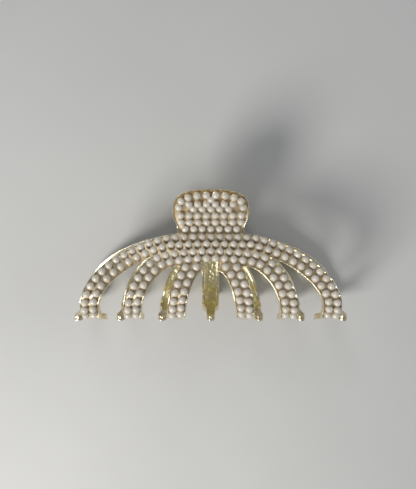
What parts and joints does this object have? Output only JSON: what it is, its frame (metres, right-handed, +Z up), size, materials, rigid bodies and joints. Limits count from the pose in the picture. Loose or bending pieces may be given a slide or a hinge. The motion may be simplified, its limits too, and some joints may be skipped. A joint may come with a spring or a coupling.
{
  "type": "claw clip",
  "caption": "Large sprung claw clip for hair: two curved cast-metal jaws with long bent prongs and rounded handle pads, hinged on a pin and covered in pearls.",
  "frame": {"origin": "on the floor under the middle of the clip's box, with the clip lying on its back jaw", "axes": "+X along the hinge pin, +Y towards the handle pads, +Z up through the front jaw"},
  "size_m": [0.1156, 0.0554, 0.0438],
  "materials": {
    "cast_metal": "pale champagne-gold plating, bright on rims and satin in recesses",
    "steel": "drawn steel wire and pin",
    "pearl": "cream imitation pearl, glossy with a soft sheen"
  },
  "bodies": {
    "back_jaw": {"back_jaw_casting": "cast_metal", "hinge_pin": "steel", "torsion_spring": "steel", "back_pad_pearls": "pearl", "back_body_pearls": "pearl", "back_prong_1_pearls": "pearl", "back_prong_2_pearls": "pearl", "back_prong_3_pearls": "pearl", "back_prong_4_pearls": "pearl", "back_prong_5_pearls": "pearl", "back_prong_6_pearls": "pearl", "back_prong_7_pearls": "pearl"},
    "front_jaw": {"front_jaw_casting": "cast_metal", "front_pad_pearls": "pearl", "front_body_pearls": "pearl", "front_prong_1_pearls": "pearl", "front_prong_2_pearls": "pearl", "front_prong_3_pearls": "pearl", "front_prong_4_pearls": "pearl", "front_prong_5_pearls": "pearl", "front_prong_6_pearls": "pearl"}
  },
  "joints": [
    {"name": "jaw_open", "type": "hinge", "parent": "back_jaw", "child": "front_jaw", "pos_m": [0, 0.00897, 0.02097], "axis": [-1, 0, 0], "range_deg": [0, 60], "stiffness_Nm_per_rad": 0.15, "springref_deg": -57.3, "deforming": ["torsion_spring"]}
  ]
}
